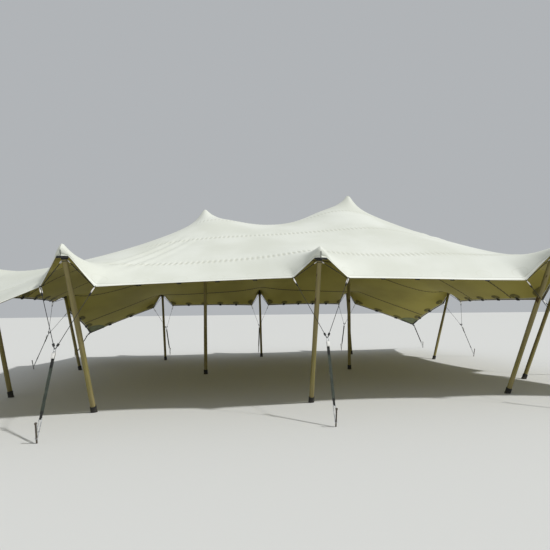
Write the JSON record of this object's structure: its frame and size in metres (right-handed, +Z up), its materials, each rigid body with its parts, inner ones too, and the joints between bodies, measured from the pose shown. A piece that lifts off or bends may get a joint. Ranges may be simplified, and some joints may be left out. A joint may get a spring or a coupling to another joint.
{
  "type": "stretch tent",
  "caption": "Open-sided stretch tent: a cream elastic canopy drawn up into two peaks by centre poles and held out by leaning wooden edge poles, guys and low-tied corners.",
  "frame": {"origin": "on the ground under the middle of the tent's outline", "axes": "+X along the long side, towards the higher peak; the front faces -Y; +Z up"},
  "size_m": [16.4054, 12.228, 5.6839],
  "materials": {
    "cloth": "matt coated stretch fabric, cream outside and olive brown inside",
    "pole_wood": "weathered round timber",
    "boot_rubber": "moulded black rubber",
    "guy_webbing": "woven polyester strap and rope with steel ratchet and stake"
  },
  "bodies": {
    "root": {"canopy_front_edge": "cloth", "canopy_front_outer": "cloth", "canopy_front_inner": "cloth", "canopy_ridge": "cloth", "canopy_back_inner": "cloth", "canopy_back_outer": "cloth", "canopy_back_edge": "cloth", "pole_centre_left": "pole_wood", "pole_centre_right": "pole_wood", "pole_front_left": "pole_wood", "pole_front_middle": "pole_wood", "pole_front_right": "pole_wood", "pole_back_left": "pole_wood", "pole_back_middle": "pole_wood", "pole_back_right": "pole_wood", "pole_left_front": "pole_wood", "pole_left_back": "pole_wood", "pole_right_front": "pole_wood", "pole_right_back": "pole_wood", "boot_centre_left": "boot_rubber", "boot_centre_right": "boot_rubber", "boot_front_left": "boot_rubber", "boot_front_middle": "boot_rubber", "boot_front_right": "boot_rubber", "boot_back_left": "boot_rubber", "boot_back_middle": "boot_rubber", "boot_back_right": "boot_rubber", "boot_left_front": "boot_rubber", "boot_left_back": "boot_rubber", "boot_right_front": "boot_rubber", "boot_right_back": "boot_rubber", "guy_front_left": "guy_webbing", "guy_front_middle": "guy_webbing", "guy_front_right": "guy_webbing", "guy_back_left": "guy_webbing", "guy_back_middle": "guy_webbing", "guy_back_right": "guy_webbing", "guy_left_front": "guy_webbing", "guy_left_back": "guy_webbing", "guy_right_front": "guy_webbing", "guy_right_back": "guy_webbing", "guy_front_left_corner": "guy_webbing", "guy_front_right_corner": "guy_webbing", "guy_back_left_corner": "guy_webbing", "guy_back_right_corner": "guy_webbing"}
  },
  "joints": []
}
